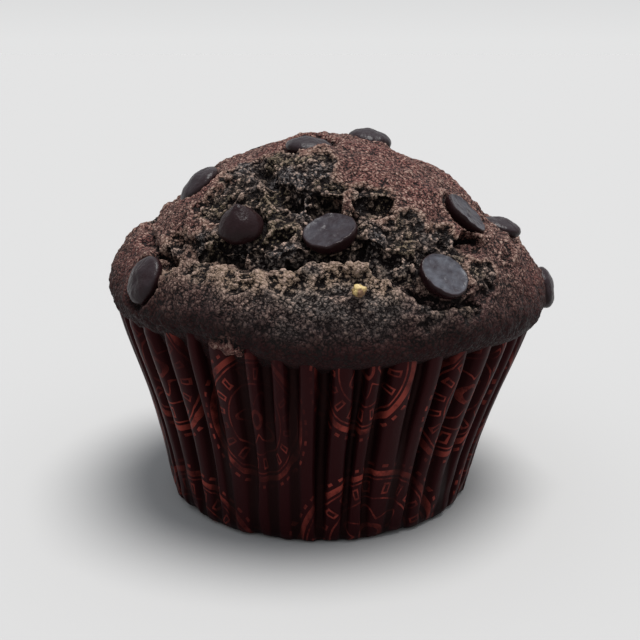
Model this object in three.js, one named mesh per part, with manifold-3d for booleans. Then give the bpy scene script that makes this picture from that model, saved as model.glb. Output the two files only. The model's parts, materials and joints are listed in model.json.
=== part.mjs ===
// A chocolate-chip muffin in its pleated paper cup.
// Millimetres and degrees, +Z up. The origin is the centre of the cup's underside, the muffin's front
// faces -Y and its right side +X. An azimuth of 0 is the front and +90 the right side.

import * as THREE from 'three';
import { mergeVertices } from 'three/addons/utils/BufferGeometryUtils.js';
import Module from 'manifold-3d';

const wasm = await Module();
wasm.setup();

// ---- Driving dimensions

const gap = 0.3; // clearance between neighbouring pieces
const lean = 1.2; // the muffin leans this far to its right above the cup's rim

const pleatCount = 46;
const columnsPerPleat = 3; // a groove line and the two edges of a ridge
const paperThickness = 0.5;
const rimHeight = 34.6;
const baseRadius = 28.2;
const baseRounding = 0.8; // height of the rounded edge round the cup's base
const pleatDepthAtBase = 0.4;
const pleatDepthAtRim = 1.5;
const wallFlare = [[0, 28.2], [10, 30.4], [22, 33.8], [29.6, 36.45], [34.6, 38.2]]; // height, radius

const lipBottom = 34.2; // underside of the lip that hangs over the paper's rim
const lipTilt = 1.0; // the lip hangs this much lower on the right and higher on the left
const crustOutline = [ // radius, height, from the lip's underside to the top of the dome
  [39.3, 34.2], [39.9, 37.6], [39.9, 41], [38.6, 44.6], [35.2, 49], [31.4, 51.8],
  [28.4, 54.2], [25.6, 57], [22.4, 60.2], [16.4, 62.9], [9.4, 65.6], [0, 67.2],
];
const crustColumns = 76;
const crustRings = 24;

// Lumps stand out of the crust and hollows, with a negative rise, sink into it.
const lumps = [
  { azimuth: -5, height: 57.5, size: 4.2, rise: -4.2 }, // the cave under the brow
  { azimuth: -3, height: 62.6, size: 4.5, rise: 1.4 }, // the brow
  { azimuth: 20, height: 58.4, size: 3.4, rise: -2.4 },
  { azimuth: 37, height: 58.8, size: 6.5, rise: 1.6 },
  { azimuth: 46, height: 51.2, size: 2.8, rise: -1.8 },
  { azimuth: -61, height: 53, size: 5.5, rise: 1.2 },
  { azimuth: -40, height: 62, size: 4.5, rise: 1 },
  { azimuth: 9, height: 48.5, size: 2.6, rise: 1 },
  { azimuth: -27, height: 42, size: 6, rise: 0.7 },
  { azimuth: -70, height: 42, size: 7, rise: 0.5 },
  { azimuth: 110, height: 55, size: 7, rise: 1.2 },
  { azimuth: 150, height: 59, size: 6, rise: 1.4 },
  { azimuth: 172, height: 53, size: 4, rise: -2 },
  { azimuth: -150, height: 56, size: 6, rise: 1.3 },
  { azimuth: -118, height: 60, size: 5, rise: -1.2 },
  { azimuth: 80, height: 61.5, size: 4, rise: 1 },
];

// Cracks run along the crust, through points given as azimuth and height.
const cracks = [
  {
    path: [[-56, 48], [-40, 49.1], [-20, 49.8], [5, 50.6], [9, 51.2], [19, 47.4], [26, 44.8], [36, 43.8]],
    width: 1.7,
    depth: 1.7,
  },
  { path: [[64, 46.5], [86, 48.5], [112, 47.5], [135, 49.5]], width: 1.9, depth: 1.5 },
  { path: [[158, 48], [178, 49.5], [200, 48], [222, 50], [244, 48.5]], width: 1.9, depth: 1.7 },
];

const chipRadius = 4.4;
const chipSides = 12;
const chipOutlines = { // radius as a share of the chip's, height in millimetres above its widest ring
  // flat: the moulded underside faces out and the tip is sunk in the cake
  flat: [[0, -3.4], [0.45, -2.5], [0.86, -1.1], [1, 0], [0.93, 0.75], [0, 0.85]],
  // drop: the tip faces out
  drop: [[0, -1.5], [0.86, -1.3], [1, 0], [0.84, 1.3], [0.46, 2.9], [0, 4.5]],
  // melted: a drop that has sagged to a low button
  melted: [[0, -1.6], [0.82, -1.4], [1, -0.2], [0.9, 0.8], [0.5, 1.6], [0, 1.9]],
};

// Each chip faces out along its own azimuth and elevation, and stands proud of the crust by its lift.
const chips = [
  { kind: 'melted', azimuth: -23, height: 66, face: [60, 83], lift: -0.8, scale: 1 },
  { kind: 'melted', azimuth: 126, height: 65.4, face: [60, 78], lift: 0.1, scale: 0.96 },
  { kind: 'melted', azimuth: -74, height: 58.9, face: [-79, 46], lift: -0.5, scale: 1 },
  { kind: 'drop', azimuth: -28, height: 53.6, face: [-18, 64], lift: 1, scale: 0.86 },
  { kind: 'flat', azimuth: 1, height: 54, face: [-30, 64], lift: 0.4, scale: 1.02 },
  { kind: 'melted', azimuth: -52, height: 45.3, face: [-56, 27], lift: 0.1, scale: 0.98 },
  { kind: 'flat', azimuth: 55, height: 54.6, face: [72, 46], lift: 0.3, scale: 0.98 },
  { kind: 'melted', azimuth: 80, height: 51.7, face: [90, 80], lift: -0.8, scale: 0.94 },
  { kind: 'flat', azimuth: 29.5, height: 47.7, face: [38, 48], lift: 0.2, scale: 0.96 },
  { kind: 'melted', azimuth: 84, height: 39.8, face: [82, 12], lift: 0.5, scale: 0.92 },
  { kind: 'melted', azimuth: 131, height: 51.6, face: [131, 48], lift: 0.3, scale: 0.96 },
  { kind: 'flat', azimuth: 148, height: 46.2, face: [148, 30], lift: 0.2, scale: 1 },
  { kind: 'drop', azimuth: 168, height: 60, face: [168, 58], lift: 0.3, scale: 0.9 },
  { kind: 'melted', azimuth: -168, height: 50.6, face: [-168, 44], lift: 0.3, scale: 1 },
  { kind: 'flat', azimuth: -146, height: 60.8, face: [-146, 64], lift: 0.3, scale: 0.96 },
  { kind: 'flat', azimuth: -136, height: 44.5, face: [-136, 18], lift: 0.2, scale: 0.94 },
  { kind: 'melted', azimuth: -121, height: 50.4, face: [-121, 44], lift: 0.3, scale: 1 },
  { kind: 'melted', azimuth: -171, height: 62.2, face: [-171, 66], lift: -0.3, scale: 0.94 },
];

const nutRadius = 1.25;
const nutPlace = { azimuth: 7, height: 46.6, face: [7, 34], lift: 0.75 };

// ---- Materials

function material(color, roughness) {
  return new THREE.MeshStandardMaterial({ color, roughness, metalness: 0 });
}

const crustMaterial = material(0x4a3630, 0.85);
const paperMaterial = material(0x2c0f10, 0.5);
const chocolateMaterial = material(0x34242a, 0.38);
const nutMaterial = material(0xb99a5c, 0.6);

// ---- Helpers

const radians = THREE.MathUtils.degToRad;
const mix = THREE.MathUtils.lerp;

// A value read off a list of [key, value] pairs, with straight lines between them.
function readAlong(pairs, key) {
  const last = pairs.length - 1;
  const next = pairs.findIndex(([k]) => k >= key);
  if (next === 0) return pairs[0][1];
  if (next < 0) return pairs[last][1];
  const [k0, v0] = pairs[next - 1];
  const [k1, v1] = pairs[next];
  return mix(v0, v1, (key - k0) / (k1 - k0));
}

// The sideways shift of the leaning muffin at one height.
function leanAt(height) {
  return lean * THREE.MathUtils.smoothstep(height, 0, rimHeight);
}

// A point at an azimuth, a radius about the leaning axis, and a height.
function pointAt(azimuth, radius, height) {
  const turn = radians(azimuth);
  return new THREE.Vector3(leanAt(height) + radius * Math.sin(turn), -radius * Math.cos(turn), height);
}

// A closed mesh keeps only its positions, shared between faces, and no face that has no area.
function closedGeometry(source) {
  source.deleteAttribute('normal');
  source.deleteAttribute('uv');
  const merged = mergeVertices(source);
  const old = merged.index.array;
  const faces = [];
  for (let i = 0; i < old.length; i += 3) {
    const [a, b, c] = [old[i], old[i + 1], old[i + 2]];
    if (a !== b && b !== c && c !== a) faces.push(a, b, c);
  }
  merged.setIndex(faces);
  return merged;
}

// An outline of [radius, height] pairs turned about +Z, with its first column at the front.
function turned(outline, columns) {
  const points = outline.map(([radius, height]) => new THREE.Vector2(radius, height));
  return closedGeometry(new THREE.LatheGeometry(points, columns).rotateX(Math.PI / 2));
}

// Moves every vertex to the place that move gives for its azimuth, radius and height.
function reshape(geometry, move) {
  const places = geometry.attributes.position;
  for (let i = 0; i < places.count; i += 1) {
    const [x, y, z] = [places.getX(i), places.getY(i), places.getZ(i)];
    const azimuth = THREE.MathUtils.radToDeg(Math.atan2(x, -y));
    const moved = move(azimuth, Math.hypot(x, y), z);
    places.setXYZ(i, moved.x, moved.y, moved.z);
  }
  return geometry;
}

function toSolid(geometry) {
  const mesh = new wasm.Mesh({
    numProp: 3,
    vertProperties: new Float32Array(geometry.attributes.position.array),
    triVerts: new Uint32Array(geometry.index.array),
  });
  return new wasm.Manifold(mesh);
}

function toGeometry(solid) {
  const mesh = solid.getMesh();
  const geometry = new THREE.BufferGeometry();
  geometry.setAttribute('position', new THREE.BufferAttribute(mesh.vertProperties, 3));
  geometry.setIndex(new THREE.BufferAttribute(mesh.triVerts, 1));
  return geometry;
}

function namedMesh(name, geometry, look) {
  geometry.computeVertexNormals();
  const mesh = new THREE.Mesh(geometry, look);
  mesh.name = name;
  return mesh;
}

// ---- Paper cup

// How far a point of the fluted wall lies inside the ridges: 0 on a ridge, full depth in a groove.
function pleatInset(azimuth, height) {
  const column = Math.round((azimuth / 360) * pleatCount * columnsPerPleat);
  const inGroove = ((column % columnsPerPleat) + columnsPerPleat) % columnsPerPleat === 0;
  return inGroove ? mix(pleatDepthAtBase, pleatDepthAtRim, Math.min(height / rimHeight, 1)) : 0;
}

function flutedPoint(azimuth, radius, height) {
  const inset = radius > baseRadius / 2 ? pleatInset(azimuth, height) : 0;
  return pointAt(azimuth, radius - inset, height);
}

function wallRadius(height) {
  return readAlong(wallFlare, height);
}

// The wall's ridge line, moved in by an inset, between two heights.
function wallLine(inset, from, to) {
  const between = wallFlare.map(([height]) => height).filter((height) => height > from && height < to);
  return [from, ...between, to].map((height) => [wallRadius(height) - inset, height]);
}

function paperCup() {
  const outside = wallLine(0, baseRounding, rimHeight);
  const inside = wallLine(paperThickness, baseRounding + paperThickness, rimHeight).reverse();
  const outline = [
    [0, 0],
    [baseRadius - baseRounding, 0],
    ...outside,
    ...inside,
    [baseRadius - baseRounding - paperThickness, paperThickness],
    [0, paperThickness],
  ];
  return reshape(turned(outline, pleatCount * columnsPerPleat), flutedPoint);
}

// ---- Cake

const crustCurve = new THREE.SplineCurve(crustOutline.map(([r, z]) => new THREE.Vector2(r, z)));
const crustLine = crustCurve.getSpacedPoints(crustRings);
const crustRadii = crustLine.map((point) => [point.y, point.x]);

function crustRadius(height) {
  return readAlong(crustRadii, height);
}

function plainCrustPoint(azimuth, height) {
  return pointAt(azimuth, crustRadius(height), height);
}

// The direction that the crust faces, straight out of the dome.
function outward(point) {
  return new THREE.Vector3(point.x - lean, point.y, (point.z - lipBottom) * 0.9).normalize();
}

const lumpCentres = lumps.map(({ azimuth, height }) => plainCrustPoint(azimuth, height));
const crackLines = cracks.map(({ path }) => {
  const points = path.map(([azimuth, height]) => plainCrustPoint(azimuth, height));
  return new THREE.CatmullRomCurve3(points).getSpacedPoints(60);
});

function bell(distance, size) {
  return Math.exp(-((distance / size) ** 2));
}

// How far the crust stands out of the plain dome at a point.
function crustRise(point) {
  let rise = 0;
  lumps.forEach(({ size, rise: height }, i) => {
    rise += height * bell(point.distanceTo(lumpCentres[i]), size);
  });
  cracks.forEach(({ width, depth }, i) => {
    const nearest = Math.min(...crackLines[i].map((place) => point.distanceTo(place)));
    rise -= depth * bell(nearest, width);
  });
  return rise;
}

// The lip hangs lower on the right; the tilt fades out up the dome.
function lipShift(azimuth, height) {
  const fade = 1 - THREE.MathUtils.smoothstep(height, lipBottom, 46);
  return -lipTilt * Math.sin(radians(azimuth)) * fade;
}

function crustPoint(azimuth, radius, height) {
  const plain = pointAt(azimuth, radius, height);
  const onCrust = radius > 0 && height > lipBottom + 0.1;
  const rise = onCrust ? crustRise(plain) : 0;
  const moved = plain.addScaledVector(outward(plain), rise);
  moved.z += lipShift(azimuth, height);
  return moved;
}

function dome() {
  const outline = [[0, lipBottom], ...crustLine.map((point) => [point.x, point.y])];
  outline[outline.length - 1][0] = 0;
  return toSolid(reshape(turned(outline, crustColumns), crustPoint));
}

// The space that the paper's rim takes up inside the lip.
function rimSlot() {
  const depth = 4;
  const low = rimHeight - depth;
  const inner = wallRadius(low) - paperThickness - pleatDepthAtRim - 2 * gap;
  const outline = [
    [inner, low],
    [wallRadius(low) + gap * 1.3, low],
    [wallRadius(rimHeight) + gap * 1.3, rimHeight + gap * 1.3],
    [inner, rimHeight + gap * 1.3],
    [inner, low],
  ];
  const atLean = (azimuth, radius, height) => pointAt(azimuth, radius, height);
  return toSolid(reshape(turned(outline, pleatCount * columnsPerPleat), atLean));
}

// The part of the cake that fills the cup, fluted as the paper is.
function plug() {
  const clearance = paperThickness + gap * 1.5;
  const bottom = paperThickness + gap;
  const insideLip = rimHeight + 3;
  const outline = [
    [0, bottom],
    [wallRadius(0) - clearance - 1, bottom],
    ...wallLine(clearance, bottom + 1, rimHeight),
    [wallRadius(rimHeight) - clearance, insideLip],
    [0, insideLip],
  ];
  return toSolid(reshape(turned(outline, pleatCount * columnsPerPleat), flutedPoint));
}

// ---- Chips and nut

// The turn and place that set a piece on the crust, facing out along its own direction.
function seat({ azimuth, height, face, lift }) {
  const [faceAzimuth, faceElevation] = face.map(radians);
  const direction = new THREE.Vector3(
    Math.sin(faceAzimuth) * Math.cos(faceElevation),
    -Math.cos(faceAzimuth) * Math.cos(faceElevation),
    Math.sin(faceElevation),
  );
  const place = crustPoint(azimuth, crustRadius(height), height).addScaledVector(direction, lift);
  const turn = new THREE.Quaternion().setFromUnitVectors(new THREE.Vector3(0, 0, 1), direction);
  return new THREE.Matrix4().compose(place, turn, new THREE.Vector3(1, 1, 1));
}

// A chip at its seat. With a margin it is larger all round, as the hollow that it sits in.
function chipGeometry(chip, margin) {
  const radius = chipRadius * chip.scale;
  const outline = chipOutlines[chip.kind].map(([share, height]) => {
    const away = height < 0 ? -margin : margin;
    return [share === 0 ? 0 : share * radius + margin, height * chip.scale + away];
  });
  return turned(outline, chipSides).applyMatrix4(seat(chip));
}

function nutGeometry(margin) {
  const geometry = closedGeometry(new THREE.IcosahedronGeometry(nutRadius + margin, 1));
  return geometry.scale(1, 0.85, 0.8).applyMatrix4(seat(nutPlace));
}

function cake() {
  const whole = dome().subtract(rimSlot()).add(plug());
  const seats = chips.map((chip) => toSolid(chipGeometry(chip, gap)));
  seats.push(toSolid(nutGeometry(gap)));
  return toGeometry(seats.reduce((left, hollow) => left.subtract(hollow), whole));
}

// ---- The muffin

const muffin = new THREE.Group();
muffin.add(namedMesh('muffin_cake', cake(), crustMaterial));
muffin.add(namedMesh('paper_cup', paperCup(), paperMaterial));
chips.forEach((chip, i) => {
  const name = `chip_${String(i + 1).padStart(2, '0')}`;
  muffin.add(namedMesh(name, chipGeometry(chip, 0), chocolateMaterial));
});
muffin.add(namedMesh('nut_bit', nutGeometry(0), nutMaterial));

export default muffin;
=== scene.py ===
# Chocolate-chip muffin in a pleated paper cup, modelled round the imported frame
# Metres, +Z up, the muffin's front faces -Y. Azimuths are in degrees: 0 is the front, +90 the right side.
import json
import math
import random

import bpy
import numpy as np
from mathutils import Matrix, Vector, noise

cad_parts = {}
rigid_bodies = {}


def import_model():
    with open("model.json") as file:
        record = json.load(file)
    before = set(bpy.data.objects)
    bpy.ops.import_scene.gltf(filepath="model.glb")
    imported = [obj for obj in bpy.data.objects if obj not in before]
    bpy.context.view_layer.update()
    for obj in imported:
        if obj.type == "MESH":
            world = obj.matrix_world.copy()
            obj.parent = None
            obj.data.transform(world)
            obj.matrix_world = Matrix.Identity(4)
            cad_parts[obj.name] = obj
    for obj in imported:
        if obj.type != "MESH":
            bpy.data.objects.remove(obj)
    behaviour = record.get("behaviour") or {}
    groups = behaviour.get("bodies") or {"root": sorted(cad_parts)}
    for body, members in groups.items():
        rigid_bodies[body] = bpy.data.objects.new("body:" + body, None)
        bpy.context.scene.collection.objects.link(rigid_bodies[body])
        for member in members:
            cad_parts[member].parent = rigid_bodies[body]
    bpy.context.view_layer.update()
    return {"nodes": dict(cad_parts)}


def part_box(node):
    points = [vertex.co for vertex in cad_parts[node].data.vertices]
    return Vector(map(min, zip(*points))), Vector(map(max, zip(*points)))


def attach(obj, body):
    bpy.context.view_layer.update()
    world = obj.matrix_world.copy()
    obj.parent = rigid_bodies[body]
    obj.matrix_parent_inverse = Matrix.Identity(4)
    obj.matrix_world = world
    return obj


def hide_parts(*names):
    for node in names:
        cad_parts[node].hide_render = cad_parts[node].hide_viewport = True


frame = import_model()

mm = 0.001
body = "root"

cakeLow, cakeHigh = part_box("muffin_cake")
lean = (cakeLow.x + cakeHigh.x) / 2          # the muffin leans a little to its right
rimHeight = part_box("paper_cup")[1].z


# small helpers for working by hand in code

def clearSelection():
    if bpy.context.object and bpy.context.object.mode != "OBJECT":
        bpy.ops.object.mode_set(mode="OBJECT")
    bpy.ops.object.select_all(action="DESELECT")


def pick(piece):
    clearSelection()
    piece.select_set(True)
    bpy.context.view_layer.objects.active = piece
    return piece


def addModifier(piece, kind, **settings):
    pick(piece)
    modifier = piece.modifiers.new(kind.title(), kind)
    for key, value in settings.items():
        setattr(modifier, key, value)
    bpy.ops.object.modifier_apply(modifier=modifier.name)


def joinPieces(main, others):
    pick(main)
    for other in others:
        other.select_set(True)
    bpy.ops.object.join()
    return main


def copyPiece(piece, name):
    copy = piece.copy()
    copy.data = piece.data.copy()
    copy.name = name
    copy.data.name = name
    bpy.context.collection.objects.link(copy)
    return copy


def readPoints(piece):
    flat = np.empty(len(piece.data.vertices) * 3)
    piece.data.vertices.foreach_get("co", flat)
    return flat.reshape(-1, 3)


def readNormals(piece):
    flat = np.empty(len(piece.data.vertices) * 3, np.float32)
    piece.data.vertex_normals.foreach_get("vector", flat)
    return flat.reshape(-1, 3).astype(float)


def writePoints(piece, points):
    piece.data.vertices.foreach_set("co", points.ravel())
    piece.data.update()


def paintPoints(piece, name, values):
    layer = piece.data.attributes.new(name, "FLOAT", "POINT")
    layer.data.foreach_set("value", values.astype(np.float32))


def smoothStep(low, high, values):
    t = np.clip((values - low) / (high - low), 0, 1)
    return t * t * (3 - 2 * t)


def bell(distance, size):
    return np.exp(-(distance / size) ** 2)


def away(points, centre):
    return np.linalg.norm(points - np.asarray(centre), axis=1)


def roll(points, size, octaves=3, shift=0.0):
    # soft rolling noise, about -1 to 1
    scaled = (points / size + shift).tolist()
    return np.array([noise.fractal(p, 1.0, 2.0, octaves) for p in scaled])


def clods(points, size, shift=0.0):
    # rounded clods with creases between them, 0 in a crease to 1 on top
    scaled = (points / size + shift).tolist()
    gaps = np.array([noise.voronoi(p)[0][:2] for p in scaled])
    return np.clip((gaps[:, 1] - gaps[:, 0]) * 1.6, 0, 1) ** 0.6


def azimuthOf(points):
    return np.degrees(np.arctan2(points[:, 0] - lean, -points[:, 1]))


def leanAt(height):
    t = np.clip(height / rimHeight, 0, 1)
    return lean * t * t * (3 - 2 * t)


def turnedForm(name, outline, sides):
    # a disc at the lowest ring, extruded and resized from ring to ring up the outline
    clearSelection()
    radius, height = outline[0]
    bpy.ops.mesh.primitive_circle_add(
        vertices=sides, radius=radius, fill_type="NGON", location=(0, 0, height))
    form = bpy.context.object
    form.name = name
    form.data.name = name
    bpy.ops.object.mode_set(mode="EDIT")
    bpy.ops.mesh.select_all(action="SELECT")
    for nextRadius, nextHeight in outline[1:]:
        bpy.ops.mesh.extrude_region_move(
            TRANSFORM_OT_translate={"value": (0, 0, nextHeight - height)})
        share = nextRadius / radius
        bpy.ops.transform.resize(value=(share, share, 1), center_override=(0, 0, nextHeight))
        radius, height = nextRadius, nextHeight
    bpy.ops.mesh.select_all(action="SELECT")
    bpy.ops.mesh.normals_make_consistent(inside=False)
    bpy.ops.object.mode_set(mode="OBJECT")
    settlePlace(form)
    return form


def settlePlace(piece):
    pick(piece)
    bpy.ops.object.transform_apply(location=True, rotation=True, scale=True)


def onCrust(azimuth, height):
    # the point of the plain dome at an azimuth and a height in millimetres
    radii, heights = np.array(cake["outline"][cake["domeStart"]:]).T
    radius = float(np.interp(height, heights, radii))
    turn = math.radians(azimuth)
    return Vector((lean + radius * mm * math.sin(turn), -radius * mm * math.cos(turn), height * mm))


# chips: every seat is read off the frame's own chip

chips = {
    "kinds": {
        "flat": ["chip_05", "chip_07", "chip_09", "chip_12", "chip_15", "chip_16"],
        "drop": ["chip_04", "chip_13"],
        "melted": ["chip_01", "chip_02", "chip_03", "chip_06", "chip_08",
                   "chip_10", "chip_11", "chip_14", "chip_17", "chip_18"],
    },
    "width": 8.8,      # mm, of the chips drawn below
    # radius and height in millimetres, from a chip's sunk side to its open side
    "shapes": {
        "flat": [(0.5, -3.3), (2.0, -2.6), (3.5, -1.6), (4.2, -0.6), (4.42, 0.2), (4.42, 0.62),
                 (4.3, 0.82), (4.02, 0.82), (3.75, 0.66), (3.3, 0.58), (1.6, 0.55)],
        "drop": [(2.0, -1.6), (3.7, -1.4), (4.4, -0.5), (4.35, 0.7), (3.6, 2.0), (2.5, 3.1),
                 (1.4, 3.95), (0.7, 4.6), (0.3, 4.85)],
        "melted": [(2.0, -1.6), (3.8, -1.3), (4.4, -0.2), (4.15, 0.7), (3.2, 1.35), (1.9, 1.75), (0.8, 1.95)],
    },
    "sides": 24,
    "dents": (0.20, 0.06),      # mm, broad and fine
    # pits in a flat chip's face: sideways, forwards, size in millimetres
    "pits": [(0.9, -0.3, 0.55), (-2.1, 1.0, 0.35), (2.4, 1.6, 0.3), (-0.8, -2.6, 0.3), (3.1, -0.9, 0.4)],
    # how much of the pale bloom and painted sheen each kind shows, then each chip's own share of it
    "bloomAndSheenOf": {"drop": 0.02, "melted": 0.2},
    "dust": {"chip_05": 0.42, "chip_07": 0.6, "chip_09": 0.95, "chip_06": 0.7},
    "usualBloomAndSheen": 0.75,
}


def readSeat(node):
    points = readPoints(frame["nodes"][node])
    centre = points.mean(axis=0)
    axis = np.linalg.eigh(np.cov((points - centre).T))[1][:, 0]
    if axis @ (centre - np.array((lean, 0, rimHeight))) < 0:
        axis = -axis
    along = (points - centre) @ axis
    across = np.linalg.norm(points - centre - np.outer(along, axis), axis=1)
    widest = across > across.max() * 0.99
    seatPlace = centre + axis * along[widest].mean()
    return {"place": Vector(seatPlace), "axis": Vector(axis), "radius": float(across.max())}


seats = {name: readSeat(name) for names in chips["kinds"].values() for name in names}


# cake

cake = {
    # radius and height in millimetres: plug in the cup, lip over its rim, dome
    "outline": [
        (24.4, 1.0), (26.4, 9.0), (29.2, 19.0), (32.0, 28.0), (33.4, 33.0), (36.2, 34.0),
        (38.2, 34.5), (39.4, 36.2), (39.9, 38.6), (39.8, 41.4), (38.6, 44.8), (35.6, 48.6), (31.6, 51.6),
        (28.6, 54.2), (25.8, 57.0), (22.4, 60.2), (16.4, 63.1), (9.4, 65.6), (2.5, 66.9),
    ],
    "domeStart": 6,
    "sides": 72,
    # height of the lip's lower edge round the cup, azimuth and millimetres
    "lipEdge": [
        (-180, 34.6), (-135, 35.4), (-90, 35.8), (-60, 36.3), (-42, 36.8), (-27, 37.4), (-18, 36.0),
        (-8, 34.9), (4, 34.4), (18, 34.8), (32, 35.0), (46, 34.6), (60, 33.9), (90, 33.2), (135, 33.8),
        (180, 34.6),
    ],
    "blankVoxel": 0.55,        # mm
    "finishVoxel": 0.31,       # mm
    "triangles": 192000,
    "pitSmoothing": 10,
    # azimuth, height, size, rise in millimetres
    "lumps": [
        (-9, 61.9, 4.2, 2.3), (-2, 64.6, 4.0, 0.7), (9.5, 59.4, 1.5, 0.9), (37, 58.6, 8.0, 1.2),
        (24, 63.2, 5.0, 0.6), (-34, 60.2, 4.4, 1.2), (-80, 60.6, 5.5, -1.9), (-60, 64.6, 4.0, -0.9),
        (-61, 53.4, 5.5, 1.6), (-85, 48.6, 5.0, 1.1), (84, 48.0, 5.0, -0.8), (-20, 53.8, 2.6, 1.1),
        (-10, 53.4, 2.0, 0.7), (-33, 53.0, 2.4, 0.9), (13, 53.4, 2.6, 1.1), (21, 52.4, 2.2, 0.9),
        (27, 54.4, 3.0, 0.9), (8.5, 49.9, 2.0, 1.5), (14, 47.6, 3.0, 0.9), (-14, 47.6, 4.0, 0.8),
        (-38, 46.8, 3.6, 1.3), (42, 52.9, 2.0, 1.3), (52, 52.2, 2.2, 1.2), (66, 53.4, 3.0, -0.6),
        (72, 57.6, 5.0, -1.6), (58, 61.8, 4.5, -1.2), (61, 49.6, 3.6, 1.2), (44, 47.2, 2.8, 1.0),
        (56, 45.4, 4.4, 1.0), (32, 42.6, 4.5, 0.7), (88, 62.0, 5.0, -1.3), (100, 57.0, 6.0, -0.5),
        (124, 60.0, 6.0, -0.1), (109, 63.4, 3.6, -1.6), (106, 51.0, 4.0, -0.8), (92, 53.2, 2.4, -1.6),
        (94, 45.5, 4.0, -0.8), (150, 58.0, 7.0, 0.9), (172, 62.0, 6.0, 0.8), (-150, 56.5, 7.0, 1.4),
        (-118, 60.0, 6.0, 0.4), (-96, 55.0, 6.0, 0.5), (110, 45.0, 6.0, 0.7), (160, 44.0, 7.0, 0.8),
        (-160, 45.0, 6.0, 0.7), (-120, 44.0, 6.0, 0.8),
    ],
    # scoops leave hollows with overhanging brows: azimuth, height, sink, then half sizes across, deep, high
    "scoops": [
        (0, 57.8, 0.9, 3.0, 4.4, 2.1), (17.5, 57.8, 0.2, 3.2, 2.0, 1.9),
        (45, 51.2, 0.5, 3.3, 4.2, 1.6), (60, 56.6, 1.2, 1.5, 3.0, 2.6),
        (-48, 51.2, 0.9, 3.6, 2.8, 1.0), (42, 43.8, 0.9, 2.0, 2.0, 1.2), (9, 51.7, 1.2, 3.0, 2.2, 0.8),
        (140, 55.5, 0.4, 5.0, 3.4, 1.8), (176, 56.6, 0.2, 6.0, 3.6, 2.3), (-140, 53.0, 0.2, 4.6, 3.0, 1.5),
        (-98, 50.0, 0.4, 4.6, 3.4, 1.4), (104, 52.0, 0.4, 4.0, 3.0, 1.3),
    ],
    # cracks: points as azimuth and height, then width and depth in millimetres
    "cracks": [
        ([(-52, 45.4), (-50, 48.3), (-42, 50.4), (-33, 50.6), (-24, 50.1), (-16, 50.0), (-9, 50.4)],
         1.1, 3.0),
        ([(-9, 50.4), (-3, 51.2), (4, 51.4), (9, 51.4), (14, 49.9)], 1.1, 2.3),
        ([(14, 49.9), (19, 47.6), (24, 45.3), (32, 44.1), (40, 44.1)], 1.1, 2.0),
        ([(-90, 51.8), (-76, 50.9), (-65, 50.1), (-57, 49.4), (-50, 49.0)], 0.9, 2.0),
        ([(-46, 63.0), (-30, 61.8), (-21, 60.2), (-14, 58.9), (-8, 58.2), (-2, 57.8)], 1.2, 2.7),
        ([(-12, 54.4), (-18, 52.4), (-24, 51.6), (-32, 52.0)], 0.6, 1.4),
        ([(5, 53.6), (9, 52.4), (14, 51.4), (19, 49.8)], 0.8, 1.8),
        ([(8, 56.2), (15, 55.6), (22, 55.4), (28, 53.4)], 0.7, 1.3),
        ([(17, 50.6), (24, 50.2), (30, 51.0), (38, 51.6)], 0.6, 1.2),
        ([(-50, 59.0), (-52, 56.0), (-48, 53.6), (-54, 51.6)], 0.6, 1.1),
        ([(-28, 64.6), (-16, 65.4), (-6, 64.8)], 0.6, 0.8),
        ([(56, 48.4), (66, 49.4), (78, 48.6), (88, 49.2), (98, 48.2)], 0.7, 1.3),
        ([(98, 48.2), (112, 49.6), (126, 48.6), (140, 50.0), (154, 49.0)], 0.8, 2.0),
        ([(154, 49.0), (168, 48.0), (182, 49.6), (196, 48.6), (210, 50.0)], 0.8, 2.2),
        ([(210, 50.0), (222, 48.6), (236, 49.4), (250, 48.4), (262, 47.4)], 0.8, 1.8),
        ([(128, 55.5), (138, 58.5), (146, 61.5), (150, 63.6)], 0.7, 1.3),
        ([(196, 53.0), (206, 56.0), (204, 59.4), (212, 62.0)], 0.7, 1.3),
        ([(92, 58.0), (104, 61.0), (112, 63.6)], 0.6, 1.0),
    ],
    # where the crust has torn open and shows crumb: azimuth, height, size in millimetres
    "tears": [
        (-3, 53.6, 5.5), (9, 53.0, 5.0), (-16, 53.8, 6.0), (-30, 53.6, 5.5), (-38, 51.6, 3.6),
        (24, 52.2, 5.0), (34, 51.0, 4.2), (20, 50.0, 3.0), (-8, 59.4, 5.6), (-10, 62.4, 4.6),
        (17, 58.0, 3.2), (-30, 59.0, 6.0), (-44, 48.4, 2.2), (-34, 48.2, 2.4), (-22, 48.0, 2.6),
        (-10, 48.2, 2.8), (2, 48.4, 2.8), (12, 47.8, 3.0), (24, 43.8, 2.6), (34, 42.8, 2.6),
        (-42, 57.0, 4.5), (-34, 62.6, 5.6), (-18, 62.0, 5.0), (-50, 62.0, 4.2), (-49, 50.6, 2.2),
        (42, 47.0, 2.6), (134, 54.0, 8.0), (112, 51.4, 5.0), (176, 56.0, 8.0), (158, 52.0, 6.0),
        (-164, 53.0, 5.0), (-134, 52.4, 8.0), (-98, 50.6, 6.0), (-112, 57.0, 5.0), (-156, 61.0, 5.0),
    ],
    # clods of crumb that hang on the crust: azimuth, radius, height, then half sizes across, deep, high
    "crumbs": [
        (-23.6, 38.4, 37.5, 1.9, 1.3, 1.25), (-26.8, 38.5, 37.8, 1.1, 1.0, 0.9),
        (-20.8, 38.5, 37.0, 0.9, 0.8, 0.8), (6, 26.0, 56.6, 0.9, 0.9, 0.8),
        (-47, 22.6, 61.0, 0.8, 0.8, 0.7), (118, 38.9, 35.6, 1.6, 1.2, 1.3),
        (-150, 39.0, 35.2, 1.9, 1.3, 1.4),
    ],
}


def clodPlace(azimuth, radius, height):
    turn = math.radians(azimuth)
    return (lean + radius * mm * math.sin(turn), -radius * mm * math.cos(turn), height * mm)


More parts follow.
